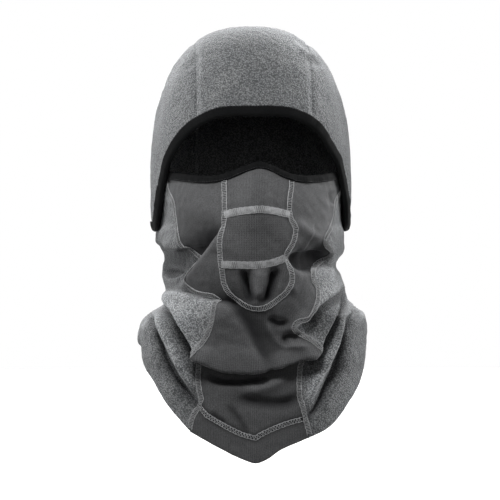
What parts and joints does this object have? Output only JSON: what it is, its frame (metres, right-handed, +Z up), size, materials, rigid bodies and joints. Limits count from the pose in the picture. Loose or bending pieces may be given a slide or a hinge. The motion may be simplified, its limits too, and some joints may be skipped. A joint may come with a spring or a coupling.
{
  "type": "hinged balaclava",
  "caption": "Fleece head hood joined at the nape to a neck gaiter with a fold-down face mask, open at the eyes and at the neck.",
  "frame": {"origin": "centre of the neck opening, level with the lowest point of the front hem", "axes": "+Z up through the crown, the face looks along -Y, +X to the wearer's left"},
  "size_m": [0.2022, 0.2235, 0.378],
  "materials": {
    "fleece": "napped polyester fleece, mid grey, mottled",
    "softshell": "smooth windproof knit, dark grey, fine vertical ribs",
    "binding": "folded elastic tape, black, slight sheen",
    "thread": "twisted polyester thread, light grey",
    "label": "woven satin label, blank"
  },
  "bodies": {
    "neck_gaiter": {"gaiter_left_panel": "fleece", "gaiter_right_panel": "fleece", "gaiter_left_hem": "fleece", "gaiter_right_hem": "fleece", "gaiter_left_hem_thread": "thread", "gaiter_right_hem_thread": "thread", "gaiter_left_side_seam_thread": "thread", "gaiter_right_side_seam_thread": "thread", "back_seam_thread": "thread", "bib_panel": "softshell", "bib_hem": "softshell", "bib_hem_thread": "thread", "care_label": "label"},
    "hood": {"crown_panel": "fleece", "hood_left_panel": "fleece", "hood_right_panel": "fleece", "hood_binding": "binding", "nape_seam_thread": "thread", "crown_seam_thread_left": "thread", "crown_seam_thread_right": "thread"},
    "mask": {"nose_panel": "softshell", "mouth_panel": "softshell", "chin_panel": "softshell", "face_panel": "softshell", "centre_seam_thread": "thread", "nose_seam_thread": "thread", "mouth_seam_thread": "thread", "mask_binding": "binding"}
  },
  "joints": [
    {"name": "hood_hinge", "type": "hinge", "parent": "neck_gaiter", "child": "hood", "pos_m": [0, 0.082, 0.196], "axis": [-1, 0, 0], "range_deg": [0, 90]},
    {"name": "mask_hinge", "type": "hinge", "parent": "neck_gaiter", "child": "mask", "pos_m": [0, 0.005, 0.228], "axis": [1, 0, 0], "range_deg": [0, 50]}
  ]
}
